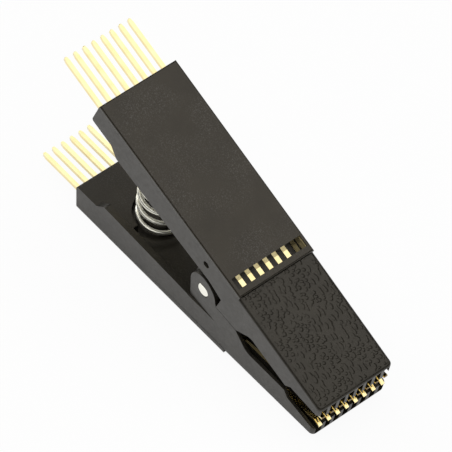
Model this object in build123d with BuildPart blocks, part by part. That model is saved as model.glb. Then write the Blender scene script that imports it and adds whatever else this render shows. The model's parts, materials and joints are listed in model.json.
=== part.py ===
"""Spring test clip for a narrow sixteen lead chip: hinged jaws with covers, contacts, pin and spring."""
import os
from math import cos, pi, radians, sin, tan

from build123d import *

os.makedirs("parts", exist_ok=True)

# Contact rows
contact_pitch = 1.27
contacts_per_row = 8
contact_width = 0.58
contact_thickness = 0.25
contact_depth = 1.93
contact_bend_radius = 2.0
terminal_length = 7.05
terminal_width = 0.5
terminal_thickness = 0.5
terminal_point = 0.6
terminal_end_width = 0.3
terminal_bevel = 0.08
tip_gap = 1.25
tip_overhang = 0.5
tip_width = 0.48
tip_return = 0.43
knee_setback = 0.45
knee_radius = 0.5

# Jaw moulding, with lengths from its rear end and depths from the cover's outer face
jaw_length = 41.15
rear_side_wall = 0.505
nose_side_wall = 0.355
handle_wall = 0.85
web_thickness = 0.57
web_overlap = 0.9
end_block_length = 3.6
end_block_depth = 3.9
end_corner_radius = 0.4
wall_rise_length = 1.4
wall_depth_rear = 5.0
wall_corner_radius = 0.5
stop_wall_rise = 0.5
stop_length = 3.4
throat_slope = 47.0
throat_radius = 1.5
nose_gap = 0.96
nose_drop = 0.8
nose_skin = 0.35
nose_overhang = 0.4
nose_rib_depth = 2.9
nose_corner_radius = 0.6
nose_edge_radius = 0.42
lip_length = 4.3
lip_ramp = 0.6
lip_step = 0.9
lip_depth = 2.25
dimple_diameter = 0.9
dimple_depth = 0.3
dimple_from_pivot = 1.4
dimple_from_cover = 2.2

# Cover plate
cover_length = 26.1
cover_thickness = 0.5
cover_edge_radius = 0.3
window_length = 1.4
window_bar = 0.85

# Hinge
closed_angle = 21.0
pivot_from_rear = 22.1
pivot_depth = 7.4
hinge_pin_diameter = 1.8
hinge_pin_chamfer = 0.12
ear_radius = 2.25
ear_relief = 0.25
inner_ear_thickness = 0.9

# Spring
spring_from_rear = 8.6
spring_diameter = 6.0
spring_wire = 0.6
spring_wire_sides = 8
spring_half_turns = 14
stud_height = 0.9
stud_chamfer = 0.25

# Clearances
slot_clearance = 0.02
clamp_clearance = 0.02
channel_clearance = 0.03
channel_margin = 0.09
stop_gap = 0.06
ear_gap = 0.15
ear_side_gap = 0.08
ear_wall_gap = 0.95
pin_proud = 0.02
pin_hold_clearance = 0.015
pin_turn_clearance = 0.05
stud_clearance = 0.25
spring_clearance = 0.03
spring_pocket_clearance = 0.35
cut_over = 1.0

# Widths, all from the contact row
groove_width = contact_width + 2 * slot_clearance
row_half = (contacts_per_row - 1) / 2 * contact_pitch
nose_slot_width = groove_width + 2 * channel_margin
channel_half = row_half + nose_slot_width / 2
rear_half = channel_half + rear_side_wall
nose_half = channel_half + nose_side_wall
cavity_half = rear_half - handle_wall
contact_rows = [number * contact_pitch - row_half for number in range(contacts_per_row)]

# Lengths and depths that follow
half_angle = radians(closed_angle / 2)
groove_depth = contact_depth + contact_thickness
web_depth = groove_depth + web_thickness
web_end = cover_length + web_overlap
wall_start = end_block_length + wall_rise_length
hinge_wall_depth = pivot_depth - ear_radius - ear_wall_gap
stop_start = pivot_from_rear + ear_radius + ear_gap
stop_end = stop_start + stop_length
nose_end = jaw_length + nose_overhang
lip_start = jaw_length - lip_length
knee_from_rear = jaw_length - knee_setback
tip_end = jaw_length + tip_overhang

# Both jaws are the same moulding. Each is drawn on a side plane whose local x runs from the rear
# end to the nose, whose local y runs inward from the cover, and whose normal points to its outer ear.
# The model stands on the lower cover, with its origin at the middle of that cover's outer face.
tilt = radians(closed_angle)
rear_x = -cover_length / 2
pivot_x = rear_x + pivot_from_rear
upper_origin = (
    pivot_x - pivot_from_rear * cos(tilt) + pivot_depth * sin(tilt),
    0,
    pivot_depth + pivot_from_rear * sin(tilt) + pivot_depth * cos(tilt),
)
lower_frame = Plane(origin=(rear_x, 0, 0), x_dir=(1, 0, 0), z_dir=(0, -1, 0))
upper_frame = Plane(origin=upper_origin, x_dir=(cos(tilt), 0, -sin(tilt)), z_dir=(0, 1, 0))


def plan_plane(frame, depth):
    """Plane at a depth under a jaw's cover face, seen along the depth, with the same local x."""
    return Plane(origin=frame.from_local_coords((0, depth, 0)), x_dir=frame.x_dir, z_dir=frame.y_dir)


def depth_axis(frame):
    """Axis along a jaw's depth, from its cover inward."""
    return Axis(frame.origin, frame.y_dir)


def length_axis(frame):
    """Axis along a jaw's length, from its rear end to its nose."""
    return Axis(frame.origin, frame.x_dir)


def half_width(length):
    """Half the jaw's width, which tapers from the rear end to the nose."""
    return rear_half + (nose_half - rear_half) * length / jaw_length


def depth_short_of_middle(length, gap):
    """Depth that leaves half a gap to the plane half way between the two closed jaws."""
    return pivot_depth - (length - pivot_from_rear) * tan(half_angle) - gap / 2


def front_at(depth):
    """Length of the nose at a depth: its front leans out from the outer edge down to the ribs."""
    return jaw_length + nose_overhang * (depth - nose_drop) / (nose_rib_depth - nose_drop)


def side_outline():
    """Corner points of a jaw's side, without its ears."""
    nose_wall_depth = depth_short_of_middle(lip_start - lip_ramp, nose_gap)
    stop_end_depth = depth_short_of_middle(stop_end, stop_gap)
    throat_end = stop_end + (stop_end_depth - nose_wall_depth) / tan(radians(throat_slope))
    return [
        (0, cover_thickness),
        (cover_length, cover_thickness),
        (jaw_length, nose_drop),
        (front_at(lip_depth), lip_depth),
        (lip_start, nose_wall_depth - lip_step),
        (lip_start - lip_ramp, nose_wall_depth),
        (throat_end, nose_wall_depth),
        (stop_end, stop_end_depth),
        (stop_start, depth_short_of_middle(stop_start, stop_gap)),
        (stop_start, hinge_wall_depth + stop_wall_rise),
        (pivot_from_rear, hinge_wall_depth),
        (wall_start, wall_depth_rear),
        (end_block_length, end_block_depth),
        (0, end_block_depth),
    ]


def is_nose_face(frame, face):
    """Tells the outer face of the nose from a jaw's other faces."""
    middle = frame.to_local_coords(face.center())
    looks_out = face.normal_at().dot(frame.y_dir) < -cos(tilt)
    return looks_out and middle.X > cover_length and middle.Y < nose_drop


def ear_foot(front, front_depth):
    """Corner points of the foot that carries an ear's round head on the web."""
    return [
        (pivot_from_rear - ear_radius, web_depth),
        (front, web_depth),
        (front, front_depth),
        (pivot_from_rear + ear_radius, pivot_depth),
        (pivot_from_rear - ear_radius, pivot_depth),
    ]


def make_jaw(frame, label, hole_radius):
    """One jaw: a channel with end block, web, stop walls, slotted nose, an outer and an inner ear."""
    with BuildPart() as jaw:
        # Full width block with the side outline
        with BuildSketch(frame):
            with BuildLine():
                Polyline(*side_outline(), close=True)
            make_face()
            fillet(vertices().sort_by_distance((0, end_block_depth))[0], end_corner_radius)
            fillet(vertices().sort_by_distance((wall_start, wall_depth_rear))[0], wall_corner_radius)
            fillet(vertices().sort_by_distance(side_outline()[6])[0], throat_radius)
        extrude(amount=rear_half, both=True)

        # Handle cavity, open to the other jaw: level with the end block, then down to the web
        with BuildSketch(frame):
            with BuildLine():
                Polyline(
                    (end_block_length, end_block_depth),
                    (spring_from_rear, end_block_depth),
                    (spring_from_rear, web_depth),
                    (web_end, web_depth),
                    (web_end, 2 * pivot_depth),
                    (end_block_length, 2 * pivot_depth),
                    close=True,
                )
            make_face()
        extrude(amount=cavity_half, both=True, mode=Mode.SUBTRACT)

        # Round end of the lower part, for the spring
        with BuildSketch(plan_plane(frame, web_depth)):
            with Locations((spring_from_rear, 0)):
                Circle(spring_diameter / 2 + spring_pocket_clearance)
        extrude(amount=end_block_depth - web_depth, mode=Mode.SUBTRACT)

        # Hollow of the nose, down to the ribs between the contacts
        with BuildSketch(frame):
            with BuildLine():
                Polyline(
                    (web_end, web_depth),
                    (nose_end, nose_rib_depth),
                    (nose_end, 2 * pivot_depth),
                    (web_end, 2 * pivot_depth),
                    close=True,
                )
            make_face()
        extrude(amount=channel_half, both=True, mode=Mode.SUBTRACT)

        # Outer ear in line with the wall, running into the stop wall
        with BuildSketch(frame.offset(cavity_half)):
            with BuildLine():
                Polyline(*ear_foot(stop_start, depth_short_of_middle(stop_start, stop_gap)), close=True)
            make_face()
            with Locations((pivot_from_rear, pivot_depth)):
                Circle(ear_radius)
        extrude(amount=rear_half - cavity_half)

        # Inner ear beside the other jaw's outer ear, with a foot out to the wall
        with BuildSketch(frame.offset(ear_side_gap - cavity_half)):
            with BuildLine():
                Polyline(*ear_foot(pivot_from_rear + ear_radius, hinge_wall_depth), close=True)
            make_face()
            with Locations((pivot_from_rear, pivot_depth)):
                Circle(ear_radius)
        extrude(amount=inner_ear_thickness)
        with BuildSketch(frame.offset(-cavity_half)):
            with BuildLine():
                Polyline(
                    (pivot_from_rear - ear_radius, web_depth),
                    (pivot_from_rear + ear_radius, web_depth),
                    (pivot_from_rear + ear_radius, hinge_wall_depth),
                    (pivot_from_rear - ear_radius, hinge_wall_depth),
                    close=True,
                )
            make_face()
        extrude(amount=inner_ear_thickness)

        # Sides tapering to the nose, with round front corners
        with BuildSketch(plan_plane(frame, 0)):
            with BuildLine():
                Polyline(
                    (0, -rear_half),
                    (nose_end, -half_width(nose_end)),
                    (nose_end, half_width(nose_end)),
                    (0, rear_half),
                    close=True,
                )
            make_face()
        extrude(amount=2 * pivot_depth, mode=Mode.INTERSECT)
        nose_front = jaw.faces().sort_by(length_axis(frame))[-1]
        fillet(nose_front.edges().sort_by(depth_axis(frame))[1:3], nose_corner_radius)

        # Rounded outer edges of the nose, at its sides and front
        nose_face = jaw.faces().filter_by(lambda face: is_nose_face(frame, face))[0]
        fillet(nose_face.edges().sort_by(length_axis(frame))[1:], nose_edge_radius)

        # Channel for the cover's underside, closed at the nose
        with BuildSketch(frame):
            with BuildLine():
                Polyline(
                    (-cut_over, 0),
                    (cover_length, 0),
                    (cover_length, contact_depth),
                    (-cut_over, contact_depth),
                    close=True,
                )
            make_face()
        extrude(amount=channel_half, both=True, mode=Mode.SUBTRACT)

        # Block that stands up as ribs between the contacts, over the low lip of the side walls
        with BuildSketch(frame):
            with BuildLine():
                Polyline(
                    (lip_start, web_depth),
                    (lip_start, contact_depth),
                    (front_at(contact_depth), contact_depth),
                    (nose_end, nose_rib_depth),
                    close=True,
                )
            make_face()
        extrude(amount=row_half, both=True)

        # One groove for each contact under the web
        with BuildSketch(*[frame.offset(row) for row in contact_rows]):
            with BuildLine():
                Polyline(
                    (-cut_over, contact_depth - clamp_clearance),
                    (cover_length, contact_depth - clamp_clearance),
                    (cover_length, groove_depth),
                    (-cut_over, groove_depth),
                    close=True,
                )
            make_face()
        extrude(amount=groove_width / 2, both=True, mode=Mode.SUBTRACT)

        # One wider slot for each contact to spring in, open through the nose
        with BuildSketch(*[frame.offset(row) for row in contact_rows]):
            with BuildLine():
                Polyline(
                    (cover_length, cover_thickness + 2 * nose_skin),
                    (jaw_length, nose_drop + nose_skin),
                    (nose_end + cut_over, nose_drop + nose_skin),
                    (nose_end + cut_over, pivot_depth),
                    (web_end, pivot_depth),
                    (web_end, groove_depth),
                    (cover_length, groove_depth),
                    close=True,
                )
            make_face()
        extrude(amount=nose_slot_width / 2, both=True, mode=Mode.SUBTRACT)

        # Outer face of the outer ear, leaning in towards the rear
        with BuildSketch(plan_plane(frame, hinge_wall_depth)):
            with BuildLine():
                Polyline(
                    (2 * pivot_from_rear - stop_start, ear_relief - half_width(stop_start)),
                    (stop_start, -half_width(stop_start)),
                    (stop_start, -2 * rear_half),
                    (2 * pivot_from_rear - stop_start, -2 * rear_half),
                    close=True,
                )
            make_face()
        extrude(amount=2 * pivot_depth, mode=Mode.SUBTRACT)

        # Hinge hole through both ears
        with BuildSketch(frame):
            with Locations((pivot_from_rear, pivot_depth)):
                Circle(hole_radius)
        extrude(amount=2 * rear_half, both=True, mode=Mode.SUBTRACT)

        # Stud that centres the spring
        with BuildSketch(plan_plane(frame, web_depth)):
            with Locations((spring_from_rear, 0)):
                Circle(spring_diameter / 2 - spring_wire - stud_clearance)
        extrude(amount=stud_height)
        stud_rim = jaw.edges(Select.LAST).filter_by(GeomType.CIRCLE).sort_by(depth_axis(frame))[-1]
        chamfer(stud_rim, stud_chamfer)

        # Moulding dimple in the side of the inner ear
        dimple_from_rear = pivot_from_rear - dimple_from_pivot
        with BuildSketch(frame.offset(-half_width(dimple_from_rear))):
            with Locations((dimple_from_rear, dimple_from_cover)):
                Circle(dimple_diameter / 2)
        extrude(amount=dimple_depth, both=True, mode=Mode.SUBTRACT)
    jaw.part.label = label
    return jaw


def make_cover(frame, label):
    """One cover: a thin plate with a contact window and an underside that clamps the contacts."""
    window_front = cover_length - window_bar
    underside_half = channel_half - channel_clearance
    with BuildPart() as cover:
        # Plate, level with the jaw's sides
        with BuildSketch(plan_plane(frame, 0)):
            with BuildLine():
                Polyline(
                    (0, -half_width(0)),
                    (cover_length, -half_width(cover_length)),
                    (cover_length, half_width(cover_length)),
                    (0, half_width(0)),
                    close=True,
                )
            make_face()
        extrude(amount=cover_thickness)
        fillet(cover.faces().sort_by(depth_axis(frame))[0].edges(), cover_edge_radius)

        # Underside between the jaw's walls
        with BuildSketch(frame):
            with BuildLine():
                Polyline(
                    (0, cover_thickness),
                    (cover_length - channel_clearance, cover_thickness),
                    (cover_length - channel_clearance, contact_depth - clamp_clearance),
                    (0, contact_depth - clamp_clearance),
                    close=True,
                )
            make_face()
        extrude(amount=underside_half, both=True)

        # Window that shows the contacts, across the whole underside
        with BuildSketch(frame):
            with BuildLine():
                Polyline(
                    (window_front - window_length, -cut_over),
                    (window_front, -cut_over),
                    (window_front, contact_depth),
                    (window_front - window_length, contact_depth),
                    close=True,
                )
            make_face()
        extrude(amount=underside_half, both=True, mode=Mode.SUBTRACT)
    cover.part.label = label
    return cover


def make_contact(frame, label):
    """One strip contact: doubled terminal, straight run under the cover, sprung tip at the nose."""
    run_depth = contact_depth + contact_thickness / 2
    knee_depth = depth_short_of_middle(knee_from_rear, tip_gap + contact_thickness)
    with BuildPart() as contact:
        # Bent strip of even thickness, folded double at the terminal
        with BuildSketch(frame):
            with BuildLine() as run:
                FilletPolyline(
                    (-terminal_length, run_depth),
                    (web_end + contact_thickness, run_depth),
                    (knee_from_rear, knee_depth),
                    (tip_end, knee_depth - tip_return),
                    radius=[contact_bend_radius, knee_radius],
                )
            trace(run.line, contact_thickness)
            with Locations((-(terminal_length + clamp_clearance) / 2, run_depth)):
                Rectangle(terminal_length - clamp_clearance, terminal_thickness)
        extrude(amount=contact_width / 2, both=True)

        # Plan outline: pointed narrow terminal, wide strip, narrowed tip
        with BuildSketch(plan_plane(frame, 0)):
            with BuildLine():
                Polyline(
                    (-terminal_length - cut_over, 0),
                    (-terminal_length - cut_over, terminal_end_width / 2),
                    (-terminal_length, terminal_end_width / 2),
                    (terminal_point - terminal_length, terminal_width / 2),
                    (-clamp_clearance, terminal_width / 2),
                    (-clamp_clearance, contact_width / 2),
                    (lip_start, contact_width / 2),
                    (tip_end, tip_width / 2),
                    (tip_end + cut_over, tip_width / 2),
                    (tip_end + cut_over, 0),
                )
                mirror(about=Plane.XZ)
            make_face()
        extrude(amount=pivot_depth, mode=Mode.INTERSECT)
        chamfer(contact.faces().sort_by(length_axis(frame))[0].edges(), terminal_bevel)
    contact.part.label = label
    return contact


def make_hinge_pin():
    """Plain metal pin through all four ears."""
    half_length = half_width(stop_start) - ear_relief / 2 + pin_proud
    with BuildPart() as pin:
        with BuildSketch(Plane.XZ):
            with Locations((pivot_x, pivot_depth)):
                Circle(hinge_pin_diameter / 2)
        extrude(amount=half_length, both=True)
        chamfer(pin.edges().filter_by(GeomType.CIRCLE), hinge_pin_chamfer)
    pin.part.label = "hinge_pin"
    return pin


def spring_crossing(half_turn):
    """Where the wire crosses the middle plane, on a coil bowed about the line where the webs would meet."""
    bend_radius = pivot_from_rear - spring_from_rear + (pivot_depth - web_depth) / tan(half_angle)
    coil_radius = (spring_diameter - spring_wire) / 2
    seat_angle = (spring_wire / 2 + spring_clearance) / (bend_radius - spring_diameter / 2)
    swing = seat_angle + (tilt - 2 * seat_angle) * half_turn / spring_half_turns
    reach = bend_radius - coil_radius * cos(pi * half_turn)
    return Vector(
        rear_x + spring_from_rear + bend_radius - reach * cos(swing),
        0,
        web_depth + reach * sin(swing),
    )


def make_spring():
    """Coil spring over the two studs: half turns of wire on alternate sides, with open ends."""
    with BuildPart() as spring:
        for half_turn in range(spring_half_turns):
            start = spring_crossing(half_turn)
            across = spring_crossing(half_turn + 1) - start
            with BuildSketch(Plane.XZ):
                with Locations((start.X, start.Z)):
                    RegularPolygon(spring_wire / 2, spring_wire_sides)
            turn_axis = Axis(start + across / 2, Vector(-across.Z, 0, across.X) * cos(pi * half_turn))
            revolve(axis=turn_axis, revolution_arc=180)
    spring.part.label = "spring"
    return spring


def write(piece):
    """Writes a finished piece under its own name."""
    export_step(piece.part, f"parts/{piece.part.label}.step")


for jaw_frame, side, hole_clearance in (
    (lower_frame, "lower", pin_hold_clearance),
    (upper_frame, "upper", pin_turn_clearance),
):
    write(make_jaw(jaw_frame, f"{side}_jaw", hinge_pin_diameter / 2 + hole_clearance))
    write(make_cover(jaw_frame, f"{side}_cover"))
    for number, row in enumerate(contact_rows, start=1):
        write(make_contact(jaw_frame.offset(row), f"{side}_contact_{number}"))
write(make_hinge_pin())
write(make_spring())
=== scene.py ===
"""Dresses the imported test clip.

Every piece gets its finish, the noses their grain, the jaws square shoulders beside their covers,
and the handles a wound spring. A studio and the camera come last.
"""
import json
import math

import bmesh
import bpy
from bpy.props import FloatProperty, FloatVectorProperty, IntProperty, PointerProperty
from mathutils import Matrix, Vector, noise


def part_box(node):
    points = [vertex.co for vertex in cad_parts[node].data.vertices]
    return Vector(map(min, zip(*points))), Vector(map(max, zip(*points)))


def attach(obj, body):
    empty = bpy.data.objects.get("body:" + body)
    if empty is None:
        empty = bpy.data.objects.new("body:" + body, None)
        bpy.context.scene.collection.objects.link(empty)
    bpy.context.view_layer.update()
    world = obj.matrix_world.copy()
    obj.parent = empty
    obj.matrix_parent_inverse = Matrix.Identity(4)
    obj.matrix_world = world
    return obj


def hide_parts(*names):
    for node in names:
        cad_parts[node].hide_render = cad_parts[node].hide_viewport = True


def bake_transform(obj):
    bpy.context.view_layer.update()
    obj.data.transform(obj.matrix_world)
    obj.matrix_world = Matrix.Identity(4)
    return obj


bl_info = {
    "name": "Test Clip Dressing",
    "version": (1, 0, 0),
    "blender": (4, 5, 0),
    "location": "View3D > Sidebar > Test Clip",
    "description": "Gives the packed test clip its finishes, its grained noses, its spring and a studio",
    "category": "Object",
}

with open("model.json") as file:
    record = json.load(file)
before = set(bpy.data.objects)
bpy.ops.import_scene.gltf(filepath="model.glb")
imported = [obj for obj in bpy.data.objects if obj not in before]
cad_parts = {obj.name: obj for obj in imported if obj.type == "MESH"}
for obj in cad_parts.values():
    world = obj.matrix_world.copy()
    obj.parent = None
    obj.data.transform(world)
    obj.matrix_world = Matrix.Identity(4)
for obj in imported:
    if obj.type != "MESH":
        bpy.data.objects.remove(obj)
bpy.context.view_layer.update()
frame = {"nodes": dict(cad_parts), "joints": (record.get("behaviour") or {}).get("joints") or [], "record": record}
nodes = frame["nodes"]
mounts = {mount["name"]: mount for mount in frame["record"]["mounts"]}
hinge = frame["joints"][0]

MM = 0.001

# Sizes of the mouldings that the frame doesn't give.
nose_overhang = 0.4 * MM
cover_thickness = 0.5 * MM
nose_drop = 0.8 * MM
nose_edge_radius = 0.42 * MM
nose_corner_radius = 0.6 * MM
nose_taper = 0.15 * MM
web_depth = 2.75 * MM

# Places and sizes that follow from the frame.
pivot = Vector(hinge["pos_m"])
rear_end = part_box("lower_jaw")[0].x
nose_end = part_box("lower_jaw")[1].x - nose_overhang
cover_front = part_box("lower_cover")[1].x
rear_half_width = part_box("lower_jaw")[1].y
nose_half_width = rear_half_width - nose_taper
upper_axis = Vector(mounts["upper_terminals"]["axis"])
closed_angle = math.atan2(upper_axis.z, -upper_axis.x)

LIGHT_BOX_PLACE = Vector((0.15, 0.03, 0.98))
SIDE_PANEL_PLACE = Vector((-1.1, -0.12, 0.5))
CAMERA_PLACE = Vector((0.253943, -0.217045, 0.442471))
CAMERA_RIGHT = Vector((0.63429, 0.77268, 0.02515))
CAMERA_UP = Vector((-0.62377, 0.49229, 0.60710))
ROOM_GREY = (0.04, 0.04, 0.04, 1.0)
GRAIN_SEED = 1


def half_turn_matrix():
    """Moves a piece of the lower jaw to the upper jaw: half a turn about the line between them."""
    middle = Vector((math.cos(closed_angle / 2), 0.0, -math.sin(closed_angle / 2)))
    turn = Matrix.Rotation(math.pi, 4, middle)
    return Matrix.Translation(pivot) @ turn @ Matrix.Translation(-pivot)


TO_UPPER = half_turn_matrix()
SIDES = (("lower", Matrix.Identity(4)), ("upper", TO_UPPER))


class ClipSizes(bpy.types.PropertyGroup):
    """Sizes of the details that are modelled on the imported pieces."""

    moulding_edge: FloatProperty(
        name="Moulding edge", description="Radius on the jaws' moulded edges",
        default=0.00002, min=0.0, unit="LENGTH", precision=6)
    cover_edge: FloatProperty(
        name="Cover edge", description="Radius on the covers' sharp edges",
        default=0.000008, min=0.0, unit="LENGTH", precision=6)
    strip_edge: FloatProperty(
        name="Strip edge", description="Radius on the stamped edges of the contacts",
        default=0.00003, min=0.0, unit="LENGTH", precision=6)
    pin_edge: FloatProperty(
        name="Pin edge", description="Radius on the hinge pin's rims",
        default=0.00004, min=0.0, unit="LENGTH", precision=6)
    grain_cell: FloatProperty(
        name="Grain cell", description="Spacing of the pebbles in the grain on the noses",
        default=0.00056, min=0.0001, unit="LENGTH", precision=6)
    grain_depth: FloatProperty(
        name="Grain depth", description="Height of the pebbles",
        default=0.00008, min=0.0, unit="LENGTH", precision=6)
    grain_step: FloatProperty(
        name="Grain step", description="Spacing of the points that carry the grain",
        default=0.00005, min=0.00002, unit="LENGTH", precision=6)
    spring_diameter: FloatProperty(
        name="Spring diameter", description="Outside diameter of the spring",
        default=0.006, min=0.001, unit="LENGTH", precision=5)
    spring_wire: FloatProperty(
        name="Spring wire", description="Diameter of the spring's wire",
        default=0.0006, min=0.0001, unit="LENGTH", precision=5)
    spring_turns: FloatProperty(
        name="Spring turns", description="Turns in the spring, with its open ends",
        default=7.0, min=3.0)
    spring_from_rear: FloatProperty(
        name="Spring from rear", description="Distance from the handle's end to the spring's middle",
        default=0.0086, min=0.0, unit="LENGTH", precision=5)
    wire_sides: IntProperty(
        name="Wire sides", description="Facets round the spring's wire",
        default=16, min=6)


class ClipColours(bpy.types.PropertyGroup):
    """Colours of the finishes."""

    moulding: FloatVectorProperty(
        name="Moulding", description="Black of the jaw mouldings",
        subtype="COLOR", size=4, default=(0.019, 0.0168, 0.0122, 1.0), min=0.0, max=1.0)
    cover: FloatVectorProperty(
        name="Cover", description="Black of the cover plates",
        subtype="COLOR", size=4, default=(0.0215, 0.018, 0.012, 1.0), min=0.0, max=1.0)
    gold: FloatVectorProperty(
        name="Gold", description="Gold plate on the contacts",
        subtype="COLOR", size=4, default=(0.94, 0.82, 0.46, 1.0), min=0.0, max=1.0)
    gold_shade: FloatVectorProperty(
        name="Gold shade", description="Gold plate where it is thinner",
        subtype="COLOR", size=4, default=(0.84, 0.66, 0.3, 1.0), min=0.0, max=1.0)
    # Painted shade: a dark brown for the contacts' forward-facing cut ends, standing for gold that mirrors the
    # dark nose.
    painted_shade_end: FloatVectorProperty(
        name="Painted shade end", description="Painted shade on the contacts' forward-facing cut ends",
        subtype="COLOR", size=4, default=(0.2, 0.14, 0.06, 1.0), min=0.0, max=1.0)
    wire: FloatVectorProperty(
        name="Wire", description="Bright plated wire of the spring",
        subtype="COLOR", size=4, default=(1.0, 0.98, 0.86, 1.0), min=0.0, max=1.0)
    pin: FloatVectorProperty(
        name="Pin", description="Plain metal of the hinge pin",
        subtype="COLOR", size=4, default=(1.0, 0.98, 0.88, 1.0), min=0.0, max=1.0)
    floor: FloatVectorProperty(
        name="Floor", description="Pale floor under the clip",
        subtype="COLOR", size=4, default=(0.93, 0.93, 0.93, 1.0), min=0.0, max=1.0)


class ClipStudio(bpy.types.PropertyGroup):
    """Camera, lights and floor."""

    lens: FloatProperty(
        name="Lens", description="Focal length on a 36 mm wide sensor",
        default=393.9, min=1.0, unit="CAMERA")
    top_power: FloatProperty(
        name="Top light", description="Power of the light box over the clip",
        default=14.0, min=0.0, unit="POWER")
    top_size: FloatProperty(
        name="Top size", description="Width of the light box over the clip",
        default=2.1, min=0.01, unit="LENGTH")
    side_power: FloatProperty(
        name="Side light", description="Power of the white panel behind the handles",
        default=5.0, min=0.0, unit="POWER")
    side_size: FloatProperty(
        name="Side size", description="Width of the white panel behind the handles",
        default=0.95, min=0.01, unit="LENGTH")
    floor_size: FloatProperty(
        name="Floor size", description="Width of the floor",
        default=6.0, min=0.1, unit="LENGTH")
    floor_glow: FloatProperty(
        name="Floor glow", description="Share of plain white that camera and metal see in the floor",
        default=0.94, min=0.0, max=1.0, subtype="FACTOR")
    shadow_reach: FloatProperty(
        name="Shadow reach", description="How far off the clip darkens the white that metal sees",
        default=0.004, min=0.0, unit="LENGTH", precision=4)


def new_material(name):
    """Node material with only a Principled shader: returns the material, its tree and the shader."""
    material = bpy.data.materials.new(name)
    material.use_nodes = True
    tree = material.node_tree
    tree.nodes.clear()
    shader = tree.nodes.new("ShaderNodeBsdfPrincipled")
    output = tree.nodes.new("ShaderNodeOutputMaterial")
    tree.links.new(shader.outputs["BSDF"], output.inputs["Surface"])
    return material, tree, shader


def feed(tree, value, socket):
    """Links a node's output to a socket, or sets the socket to a plain value."""
    if isinstance(value, bpy.types.NodeSocket):
        tree.links.new(value, socket)
    else:
        socket.default_value = value


def combined(tree, operation, *values):
    """Result of a Math node on node outputs and plain numbers."""
    node = tree.nodes.new("ShaderNodeMath")
    node.operation = operation
    for value, socket in zip(values, node.inputs):
        feed(tree, value, socket)
    return node.outputs["Value"]


def object_places(tree, stretch=(1.0, 1.0, 1.0), shift=(0.0, 0.0, 0.0)):
    """Places on the piece in metres, moved and stretched."""
    place = tree.nodes.new("ShaderNodeTexCoord")
    mapping = tree.nodes.new("ShaderNodeMapping")
    mapping.inputs["Location"].default_value = shift
    mapping.inputs["Scale"].default_value = stretch
    tree.links.new(place.outputs["Object"], mapping.inputs["Vector"])
    return mapping.outputs["Vector"]


def cloudy(tree, places, size, detail=3.0):
    """Soft noise with features of about the given size in metres."""
    texture = tree.nodes.new("ShaderNodeTexNoise")
    texture.inputs["Scale"].default_value = 1.0 / size
    texture.inputs["Detail"].default_value = detail
    tree.links.new(places, texture.inputs["Vector"])
    return texture.outputs["Fac"]


def spread(tree, value, low, high, start=0.3, stop=0.7):
    """Maps the values from start to stop to a range."""
    ranged = tree.nodes.new("ShaderNodeMapRange")
    ranged.inputs["From Min"].default_value = start
    ranged.inputs["From Max"].default_value = stop
    ranged.inputs["To Min"].default_value = low
    ranged.inputs["To Max"].default_value = high
    tree.links.new(value, ranged.inputs["Value"])
    return ranged.outputs["Result"]


def two_tone(tree, value, first, second):
    """Colour between two tones, of which the first may come from another node."""
    mix = tree.nodes.new("ShaderNodeMix")
    mix.data_type = "RGBA"
    feed(tree, first, mix.inputs["A"])
    feed(tree, second, mix.inputs["B"])
    tree.links.new(value, mix.inputs["Factor"])
    return mix.outputs["Result"]


def relief(tree, shader, height, depth, strength):
    """Gives the shader a bump of the given depth in metres."""
    bump = tree.nodes.new("ShaderNodeBump")
    bump.inputs["Strength"].default_value = strength
    bump.inputs["Distance"].default_value = depth
    tree.links.new(height, bump.inputs["Height"])
    tree.links.new(bump.outputs["Normal"], shader.inputs["Normal"])


def shade_of(colour, factor):
    """A lighter or darker tone of a colour."""
    return tuple(channel * factor for channel in colour[:3]) + (1.0,)


def moulded_plastic(name, colour, roughness, texture_depth, scuff):
    """Satin moulded plastic: flow clouds, patches of pale specks, fine texture and uneven gloss."""
    flow_size = 3.0 * MM
    gloss_size = 0.5 * MM
    texture_size = 0.16 * MM
    speck_size = 0.14 * MM
    scuff_size = 5.0 * MM
    least_scuff = 0.1
    gloss_swing = 0.05
    dark_flow = shade_of(colour, 0.78)
    light_flow = shade_of(colour, 1.2)
    speck_tone = (0.07, 0.066, 0.06, 1.0)
    material, tree, shader = new_material(name)
    places = object_places(tree)
    flow = cloudy(tree, places, flow_size)
    fine = cloudy(tree, places, texture_size, 2.0)
    mottle = cloudy(tree, places, gloss_size, 4.0)
    specks = cloudy(tree, places, speck_size, 2.0)
    scuffs = cloudy(tree, places, scuff_size, 1.0)
    tone = two_tone(tree, spread(tree, flow, 0.0, 1.0), dark_flow, light_flow)
    speck_share = spread(tree, specks, 0.0, 1.0, start=0.5, stop=0.72)
    scuff_share = spread(tree, scuffs, least_scuff, scuff, start=0.4, stop=0.62)
    speckled = combined(tree, "MULTIPLY", speck_share, scuff_share)
    scuffed = two_tone(tree, speckled, tone, speck_tone)
    gloss = spread(tree, mottle, roughness - gloss_swing, roughness + gloss_swing)
    tree.links.new(scuffed, shader.inputs["Base Color"])
    tree.links.new(gloss, shader.inputs["Roughness"])
    shader.inputs["Specular IOR Level"].default_value = 0.42
    shader.inputs["Specular Tint"].default_value = (1.0, 0.93, 0.82, 1.0)
    relief(tree, shader, fine, texture_depth, strength=0.5)
    return material


def painted_shade_ends(tree):
    """1 on the forward-facing faces where a strip was cut to length at its tip, 0 elsewhere: the mask of the
    painted shade on the contacts' ends.
    """
    facing = tree.nodes.new("ShaderNodeTexCoord")
    along = tree.nodes.new("ShaderNodeVectorMath")
    along.operation = "DOT_PRODUCT"
    along.inputs[1].default_value = (1.0, 0.0, 0.0)
    tree.links.new(facing.outputs["Normal"], along.inputs[0])
    return spread(tree, along.outputs["Value"], 0.0, 1.0, start=0.7, stop=0.8)


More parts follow.
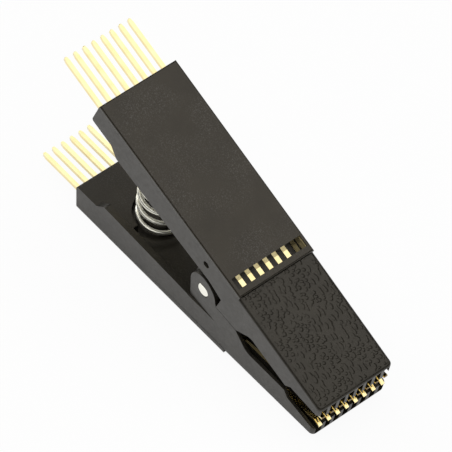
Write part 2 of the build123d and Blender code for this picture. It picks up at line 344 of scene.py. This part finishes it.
def gold_plate(name, colour, shade, end_shade):
    """Polished gold plate on strip: fine lines, patches of thinner plate, and painted shade in dark brown on the
    forward-facing sheared ends.
    """
    line_width = 0.12 * MM
    line_stretch = (0.02, 1.0, 1.0)
    patch_size = 1.2 * MM
    most_shade = 0.6
    material, tree, shader = new_material(name)
    shader.inputs["Metallic"].default_value = 1.0
    lines = cloudy(tree, object_places(tree, line_stretch), line_width, 2.0)
    patches = cloudy(tree, object_places(tree), patch_size)
    plate = two_tone(tree, spread(tree, patches, 0.0, most_shade), colour, shade)
    # Painted shade: the forward-facing cut ends get the dark brown.
    tone = two_tone(tree, painted_shade_ends(tree), plate, end_shade)
    tree.links.new(tone, shader.inputs["Base Color"])
    tree.links.new(spread(tree, lines, 0.05, 0.09), shader.inputs["Roughness"])
    return material


def drawn_wire(name, colour):
    """Bright plated wire: die lines that follow the wire and a little stain."""
    # Noise cells to a turn of the coil, and round the wire.
    line_scale = (2.0, 14.0, 1.0)
    stain_size = 0.9 * MM
    material, tree, shader = new_material(name)
    shader.inputs["Metallic"].default_value = 0.9
    along = tree.nodes.new("ShaderNodeUVMap")
    along.uv_map = "wire"
    mapping = tree.nodes.new("ShaderNodeMapping")
    mapping.inputs["Scale"].default_value = line_scale
    tree.links.new(along.outputs["UV"], mapping.inputs["Vector"])
    lines = tree.nodes.new("ShaderNodeTexNoise")
    lines.inputs["Scale"].default_value = 1.0
    tree.links.new(mapping.outputs["Vector"], lines.inputs["Vector"])
    stain = cloudy(tree, object_places(tree), stain_size)
    tone = two_tone(tree, spread(tree, stain, 0.0, 1.0), colour, shade_of(colour, 0.94))
    tree.links.new(tone, shader.inputs["Base Color"])
    tree.links.new(spread(tree, lines.outputs["Fac"], 0.28, 0.34), shader.inputs["Roughness"])
    return material


def turned_pin(name, colour):
    """Plain metal pin, with rings from the cutting tool round its axis."""
    ring_spacing = 0.12 * MM
    ring_depth = 0.002 * MM
    cloud_size = 0.6 * MM
    # About the spacing of the wave texture's rings at a scale of 1.
    unit_spacing = 0.32
    material, tree, shader = new_material(name)
    shader.inputs["Metallic"].default_value = 1.0
    places = object_places(tree, shift=tuple(-pivot))
    rings = tree.nodes.new("ShaderNodeTexWave")
    rings.wave_type = "RINGS"
    rings.rings_direction = "Y"
    rings.inputs["Scale"].default_value = unit_spacing / ring_spacing
    rings.inputs["Distortion"].default_value = 1.5
    tree.links.new(places, rings.inputs["Vector"])
    clouds = cloudy(tree, places, cloud_size)
    tone = two_tone(tree, spread(tree, clouds, 0.0, 1.0), colour, shade_of(colour, 0.88))
    tree.links.new(tone, shader.inputs["Base Color"])
    tree.links.new(spread(tree, clouds, 0.1, 0.18), shader.inputs["Roughness"])
    relief(tree, shader, rings.outputs["Color"], ring_depth, strength=0.2)
    return material


def white_floor(name, colour, glow, shadow_reach):
    """Pale floor that is plain white to the camera, and to metal where the clip doesn't shade it."""
    material, tree, shader = new_material(name)
    shader.inputs["Base Color"].default_value = colour
    shader.inputs["Roughness"].default_value = 0.9
    white = tree.nodes.new("ShaderNodeEmission")
    path = tree.nodes.new("ShaderNodeLightPath").outputs
    nearby = tree.nodes.new("ShaderNodeAmbientOcclusion")
    nearby.inputs["Distance"].default_value = shadow_reach
    mirrored = combined(tree, "ADD", path["Is Glossy Ray"], path["Is Transmission Ray"])
    seen = combined(tree, "MULTIPLY_ADD", mirrored, nearby.outputs["AO"], path["Is Camera Ray"])
    mix = tree.nodes.new("ShaderNodeMixShader")
    output = next(node for node in tree.nodes if node.type == "OUTPUT_MATERIAL")
    tree.links.new(combined(tree, "MULTIPLY", seen, glow), mix.inputs["Fac"])
    tree.links.new(shader.outputs["BSDF"], mix.inputs[1])
    tree.links.new(white.outputs["Emission"], mix.inputs[2])
    tree.links.new(mix.outputs["Shader"], output.inputs["Surface"])
    return material


def finish_node(node, material):
    """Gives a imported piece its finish."""
    node.data.materials.clear()
    node.data.materials.append(material)


def soften_edges(node, radius):
    """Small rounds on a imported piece's sharp edges, with flat faces kept flat."""
    weld = node.modifiers.new("join_faces", "WELD")
    weld.merge_threshold = 0.001 * MM
    flat = node.modifiers.new("whole_faces", "DECIMATE")
    flat.decimate_type = "DISSOLVE"
    flat.angle_limit = math.radians(0.5)
    bevel = node.modifiers.new("edge_round", "BEVEL")
    bevel.width = radius
    bevel.segments = 2
    bevel.limit_method = "ANGLE"
    bevel.angle_limit = math.radians(35)
    bevel.miter_outer = "MITER_ARC"
    bevel.use_clamp_overlap = True
    shading = node.modifiers.new("even_shading", "WEIGHTED_NORMAL")
    shading.weight = 80
    for face in node.data.polygons:
        face.use_smooth = True


def dress_nodes(word, material, edge_radius):
    """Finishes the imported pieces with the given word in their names, and softens their edges."""
    for key, node in sorted(nodes.items()):
        if word in key:
            finish_node(node, material)
            soften_edges(node, edge_radius)


def add_object(context, name, mesh, material):
    """Makes an object of a finished bmesh, with one material, and frees the bmesh."""
    data = bpy.data.meshes.new(name)
    mesh.to_mesh(data)
    mesh.free()
    piece = bpy.data.objects.new(name, data)
    context.scene.collection.objects.link(piece)
    data.materials.append(material)
    return piece


def half_width(x):
    """Half the jaw's width at a place along it."""
    share = (x - rear_end) / (nose_end - rear_end)
    return rear_half_width + (nose_half_width - rear_half_width) * share


def edge_distance(x, y):
    """How far a place on the nose lies inside its outline, with round front corners."""
    side = half_width(x) - abs(y)
    front = nose_end - x
    if side < nose_corner_radius and front < nose_corner_radius:
        return nose_corner_radius - math.hypot(nose_corner_radius - side, nose_corner_radius - front)
    return min(side, front)


def nose_height(x, y):
    """Height of the lower nose's outer face, with its rounded edges."""
    share = (x - cover_front) / (nose_end - cover_front)
    flat = cover_thickness + (nose_drop - cover_thickness) * share
    inside = min(max(edge_distance(x, y), 0.0), nose_edge_radius)
    rise = math.sqrt(nose_edge_radius**2 - (nose_edge_radius - inside) ** 2)
    return flat + nose_edge_radius - rise


def smooth(low, high, value):
    """Smooth step from 0 to 1."""
    share = min(max((value - low) / (high - low), 0.0), 1.0)
    return share * share * (3.0 - 2.0 * share)


def pebbles(place):
    """Height of scattered round pebbles, one to a cell, 1 on their tops and 0 between them."""
    cell_margin = 0.08
    cell_room = 0.84
    top_radius = 0.18
    foot_radius = 0.46
    nearest = 1.0
    for column in range(math.floor(place.x) - 1, math.floor(place.x) + 2):
        for row in range(math.floor(place.y) - 1, math.floor(place.y) + 2):
            middle = Vector((column + 0.5, row + 0.5, place.z + 0.5))
            shift = cell_margin * Vector((1.0, 1.0, 0.0))
            shift += cell_room * noise.cell_vector(middle)
            reach = math.hypot(column + shift.x - place.x, row + shift.y - place.y)
            nearest = min(nearest, reach)
    return 1.0 - smooth(top_radius, foot_radius, nearest)


def grain(x, y, cell):
    """Height of the leather grain: round pebbles, and patches where they run long."""
    sway = 0.3
    sway_scale = 0.7
    long_stretch = 0.45
    long_layer = 5.0
    patch_scale = 0.22
    patch_shift = Vector((7.0, 3.0, 0.0))
    fine_scale = 5.0
    fine_share = 0.05
    place = Vector((x / cell, y / cell, 0.0))
    place += sway * noise.noise_vector(place * sway_scale)
    place.z = 0.0
    round_ones = pebbles(place)
    long_ones = pebbles(Vector((long_stretch * place.x, place.y, long_layer)))
    patch = smooth(-0.1, 0.2, noise.noise(place * patch_scale + patch_shift))
    fine = noise.noise(place * fine_scale)
    return (1.0 - patch) * round_ones + patch * long_ones + fine_share * fine


def coil_path(sizes, seat_gap):
    """Gives a function that finds the wire's centre and its outward direction at a count of turns."""
    from_pivot = pivot.x - rear_end - sizes.spring_from_rear
    bend_radius = from_pivot + (pivot.z - web_depth) / math.tan(closed_angle / 2)
    bend_centre = Vector((rear_end + sizes.spring_from_rear + bend_radius, 0.0, web_depth))
    coil_radius = (sizes.spring_diameter - sizes.spring_wire) / 2
    seat_angle = (sizes.spring_wire / 2 + seat_gap) / (bend_radius - sizes.spring_diameter / 2)
    wound_angle = closed_angle - 2.0 * seat_angle

    def wire_at(turn):
        angle = seat_angle + wound_angle * turn / sizes.spring_turns
        outward = Vector((-math.cos(angle), 0.0, math.sin(angle)))
        axis_point = bend_centre + bend_radius * outward
        around = 2.0 * math.pi * turn
        radial = -math.cos(around) * outward - math.sin(around) * Vector((0.0, 1.0, 0.0))
        return axis_point + coil_radius * radial, radial

    return wire_at


class CLIP_OT_dress_jaws(bpy.types.Operator):
    """Satin black on the two jaw mouldings, with their edges a little round"""

    bl_idname = "clip.dress_jaws"
    bl_label = "Dress Jaws"

    def execute(self, context):
        plastic = moulded_plastic(
            "black_moulding", context.scene.clip_colours.moulding,
            roughness=0.36, texture_depth=0.006 * MM, scuff=0.5)
        dress_nodes("jaw", plastic, context.scene.clip_sizes.moulding_edge)
        return {"FINISHED"}


class CLIP_OT_grain_noses(bpy.types.Operator):
    """Leather grain on the outside of each nose, as a thin relief set into the moulding"""

    bl_idname = "clip.grain_noses"
    bl_label = "Grain Noses"

    def execute(self, context):
        plastic = moulded_plastic(
            "grained_moulding", context.scene.clip_colours.moulding,
            roughness=0.3, texture_depth=0.004 * MM, scuff=0.3)
        # Without a seed of its own the grain's sway would differ from run to run.
        noise.seed_set(GRAIN_SEED)
        for side, place in SIDES:
            pattern_shift = 40.0 * MM if side == "upper" else 0.0
            mesh = bmesh.new()
            grid = self.grained_grid(mesh, context.scene.clip_sizes, pattern_shift)
            self.close_below(mesh, grid)
            bmesh.ops.transform(mesh, matrix=place, verts=mesh.verts)
            bmesh.ops.recalc_face_normals(mesh, faces=mesh.faces)
            for face in mesh.faces:
                face.smooth = True
            skin = add_object(context, f"{side}_nose_grain", mesh, plastic)
            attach(skin, side)
        return {"FINISHED"}

    def grained_grid(self, mesh, sizes, pattern_shift):
        """Outer face of the grain: rises out of the moulding inside a plain margin."""
        margin = 0.16 * MM
        cover_gap = 0.01 * MM
        sunk = 0.012 * MM
        lift = 0.004 * MM
        fade_start = 0.2 * MM
        fade_stop = 0.55 * MM
        columns = round((nose_end - cover_front - margin) / sizes.grain_step)
        rows = round(2 * (nose_half_width - margin) / sizes.grain_step)
        grid = []
        for column in range(columns + 1):
            x = cover_front + cover_gap + (nose_end - margin - cover_front) * column / columns
            line = []
            for row in range(rows + 1):
                y = (half_width(x) - margin) * (2.0 * row / rows - 1.0)
                share = smooth(fade_start, fade_stop, edge_distance(x, y))
                height = grain(x + pattern_shift, y, sizes.grain_cell) * sizes.grain_depth
                proud = share * (height + sunk + lift) - sunk
                line.append(mesh.verts.new((x, y, nose_height(x, y) - proud)))
            grid.append(line)
        for line, after in zip(grid, grid[1:]):
            for row in range(rows):
                mesh.faces.new((line[row], line[row + 1], after[row + 1], after[row]))
        return grid

    def close_below(self, mesh, grid):
        """Walls and a bed inside the moulding, so that the grain is a closed form."""
        bed = Vector((0.0, 0.0, 0.06 * MM))
        far_side = [line[-1] for line in grid[1:]]
        near_side = [line[0] for line in grid[-2:0:-1]]
        rim = grid[0] + far_side + grid[-1][-2::-1] + near_side
        floor = [mesh.verts.new(vert.co + bed) for vert in rim]
        for index, vert in enumerate(rim):
            after = (index + 1) % len(rim)
            mesh.faces.new((vert, floor[index], floor[after], rim[after]))
        mesh.faces.new(floor)


class CLIP_OT_square_shoulders(bpy.types.Operator):
    """Fills the round of each jaw's outer edges, so that jaw and cover make one flat side"""

    bl_idname = "clip.square_shoulders"
    bl_label = "Square Shoulders"

    def execute(self, context):
        plastic = bpy.data.materials["black_moulding"]
        for side, place in SIDES:
            mesh = bmesh.new()
            for hand in (-1.0, 1.0):
                rear = self.corner_profile(mesh, rear_end, hand)
                front = self.corner_profile(mesh, cover_front, hand)
                for index in range(len(rear)):
                    after = (index + 1) % len(rear)
                    mesh.faces.new((rear[index], rear[after], front[after], front[index]))
                mesh.faces.new(rear)
                mesh.faces.new(front)
            bmesh.ops.transform(mesh, matrix=place, verts=mesh.verts)
            bmesh.ops.recalc_face_normals(mesh, faces=mesh.faces)
            strips = add_object(context, f"{side}_jaw_shoulders", mesh, plastic)
            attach(strips, side)
        return {"FINISHED"}

    def corner_profile(self, mesh, x, hand):
        """Points round the space between the jaw's rounded edge, its side and the cover."""
        arc_steps = 6
        edge = half_width(x)
        points = [(edge, cover_thickness)]
        for step in range(arc_steps + 1):
            angle = math.pi / 2 * step / arc_steps
            inward = nose_edge_radius * (1.0 - math.cos(angle))
            depth = nose_edge_radius * (1.0 - math.sin(angle))
            points.append((edge - inward, cover_thickness + depth))
        return [mesh.verts.new((x, hand * y, z)) for y, z in points]


class CLIP_OT_dress_covers(bpy.types.Operator):
    """Smooth satin black on the two cover plates"""

    bl_idname = "clip.dress_covers"
    bl_label = "Dress Covers"

    def execute(self, context):
        plastic = moulded_plastic(
            "black_cover", context.scene.clip_colours.cover,
            roughness=0.18, texture_depth=0.004 * MM, scuff=1.0)
        dress_nodes("cover", plastic, context.scene.clip_sizes.cover_edge)
        return {"FINISHED"}


class CLIP_OT_dress_contacts(bpy.types.Operator):
    """Polished gold on all the contacts"""

    bl_idname = "clip.dress_contacts"
    bl_label = "Dress Contacts"

    def execute(self, context):
        colours = context.scene.clip_colours
        gold = gold_plate("polished_gold", colours.gold, colours.gold_shade, colours.painted_shade_end)
        dress_nodes("contact", gold, context.scene.clip_sizes.strip_edge)
        return {"FINISHED"}


class CLIP_OT_dress_pin(bpy.types.Operator):
    """Plain turned metal on the hinge pin"""

    bl_idname = "clip.dress_pin"
    bl_label = "Dress Hinge Pin"

    def execute(self, context):
        metal = turned_pin("turned_pin", context.scene.clip_colours.pin)
        dress_nodes("hinge_pin", metal, context.scene.clip_sizes.pin_edge)
        return {"FINISHED"}


class CLIP_OT_wind_spring(bpy.types.Operator):
    """Round wire wound between the handles, open at both ends, running from the lower jaw's seat to the upper
    jaw's
    """

    bl_idname = "clip.wind_spring"
    bl_label = "Wind Spring"

    def execute(self, context):
        sizes = context.scene.clip_sizes
        steps_per_turn = 40
        mesh = bmesh.new()
        along = mesh.loops.layers.uv.new("wire")
        rings = self.wire_rings(mesh, sizes, round(sizes.spring_turns * steps_per_turn))
        for step, (ring, following) in enumerate(zip(rings, rings[1:])):
            for facet in range(sizes.wire_sides):
                after = (facet + 1) % sizes.wire_sides
                face = mesh.faces.new((ring[facet], ring[after], following[after], following[facet]))
                face.smooth = True
                corners = ((step, facet), (step, facet + 1), (step + 1, facet + 1), (step + 1, facet))
                for loop, (length, round_part) in zip(face.loops, corners):
                    loop[along].uv = (length / steps_per_turn, round_part / sizes.wire_sides)
        mesh.faces.new(rings[0])
        mesh.faces.new(rings[-1])
        bmesh.ops.recalc_face_normals(mesh, faces=mesh.faces)
        wire = drawn_wire("drawn_wire", context.scene.clip_colours.wire)
        coil = add_object(context, "spring_coil", mesh, wire)
        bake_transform(coil)
        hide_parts("spring")
        return {"FINISHED"}

    def wire_rings(self, mesh, sizes, steps):
        """Rings of points round the wire, from the lower seat to the upper one."""
        nudge = 0.001
        wire_at = coil_path(sizes, seat_gap=0.03 * MM)
        rings = []
        for step in range(steps + 1):
            turn = sizes.spring_turns * step / steps
            centre, radial = wire_at(turn)
            ahead = wire_at(turn + nudge)[0] - wire_at(turn - nudge)[0]
            tangent = ahead.normalized()
            side = tangent.cross(radial).normalized()
            level = side.cross(tangent).normalized()
            ring = []
            for facet in range(sizes.wire_sides):
                turned = 2.0 * math.pi * facet / sizes.wire_sides
                offset = math.cos(turned) * level + math.sin(turned) * side
                ring.append(mesh.verts.new(centre + sizes.spring_wire / 2 * offset))
            rings.append(ring)
        return rings


class CLIP_OT_set_stage(bpy.types.Operator):
    """White floor, a light box overhead, a panel behind the handles and the camera"""

    bl_idname = "clip.set_stage"
    bl_label = "Set Stage"

    def execute(self, context):
        studio = context.scene.clip_studio
        context.scene.view_settings.view_transform = "Standard"
        self.lay_floor(context, studio)
        self.hang_light(context, "light_box", studio.top_size, studio.top_power, LIGHT_BOX_PLACE)
        self.hang_light(context, "side_panel", studio.side_size, studio.side_power, SIDE_PANEL_PLACE)
        self.darken_room(context)
        self.place_camera(context, studio)
        return {"FINISHED"}

    def lay_floor(self, context, studio):
        """Floor just under the clip."""
        drop = 0.02 * MM
        mesh = bmesh.new()
        bmesh.ops.create_grid(mesh, x_segments=1, y_segments=1, size=studio.floor_size / 2)
        material = white_floor(
            "white_floor", context.scene.clip_colours.floor, studio.floor_glow, studio.shadow_reach)
        floor = add_object(context, "studio_floor", mesh, material)
        floor.location.z = -drop

    def hang_light(self, context, name, size, power, place):
        """Round area light that faces the clip."""
        light = bpy.data.lights.new(name, "AREA")
        light.shape = "DISK"
        light.size = size
        light.energy = power
        box = bpy.data.objects.new(name, light)
        box.location = place
        box.rotation_euler = (-place).to_track_quat("-Z", "Y").to_euler()
        context.scene.collection.objects.link(box)

    def darken_room(self, context):
        """Dark grey room beyond the floor and the lights."""
        world = bpy.data.worlds.new("studio_room")
        world.use_nodes = True
        background = next(node for node in world.node_tree.nodes if node.type == "BACKGROUND")
        background.inputs["Color"].default_value = ROOM_GREY
        context.scene.world = world

    def place_camera(self, context, studio):
        """Camera with the photo's angle, distance and framing."""
        data = bpy.data.cameras.new("photo_camera")
        data.sensor_width = 36.0
        data.lens = studio.lens
        data.clip_start = 0.01
        data.clip_end = 20.0
        camera = bpy.data.objects.new("photo_camera", data)
        back = CAMERA_RIGHT.cross(CAMERA_UP).normalized()
        up = back.cross(CAMERA_RIGHT).normalized()
        turn = Matrix((CAMERA_RIGHT.normalized(), up, back)).transposed().to_4x4()
        camera.matrix_world = Matrix.Translation(CAMERA_PLACE) @ turn
        context.scene.collection.objects.link(camera)
        context.scene.camera = camera


OPERATORS = (
    CLIP_OT_dress_jaws,
    CLIP_OT_grain_noses,
    CLIP_OT_square_shoulders,
    CLIP_OT_dress_covers,
    CLIP_OT_dress_contacts,
    CLIP_OT_dress_pin,
    CLIP_OT_wind_spring,
    CLIP_OT_set_stage,
)


class CLIP_PT_dressing(bpy.types.Panel):
    """Lists the steps that dress the clip, and their settings"""

    bl_idname = "CLIP_PT_dressing"
    bl_label = "Test Clip"
    bl_space_type = "VIEW_3D"
    bl_region_type = "UI"
    bl_category = "Test Clip"

    def draw(self, context):
        scene = context.scene
        column = self.layout.column()
        for operator in OPERATORS:
            column.operator(operator.bl_idname)
        for group in (scene.clip_sizes, scene.clip_colours, scene.clip_studio):
            for key in group.bl_rna.properties.keys():
                if key not in ("rna_type", "name"):
                    column.prop(group, key)


CLASSES = (ClipSizes, ClipColours, ClipStudio, *OPERATORS, CLIP_PT_dressing)


def register():
    for entry in CLASSES:
        bpy.utils.register_class(entry)
    bpy.types.Scene.clip_sizes = PointerProperty(type=ClipSizes)
    bpy.types.Scene.clip_colours = PointerProperty(type=ClipColours)
    bpy.types.Scene.clip_studio = PointerProperty(type=ClipStudio)


def unregister():
    del bpy.types.Scene.clip_studio
    del bpy.types.Scene.clip_colours
    del bpy.types.Scene.clip_sizes
    for entry in reversed(CLASSES):
        bpy.utils.unregister_class(entry)


def main():
    register()
    bpy.ops.clip.dress_jaws()
    bpy.ops.clip.grain_noses()
    bpy.ops.clip.square_shoulders()
    bpy.ops.clip.dress_covers()
    bpy.ops.clip.dress_contacts()
    bpy.ops.clip.dress_pin()
    bpy.ops.clip.wind_spring()
    bpy.ops.clip.set_stage()


if __name__ == "__main__":
    main()
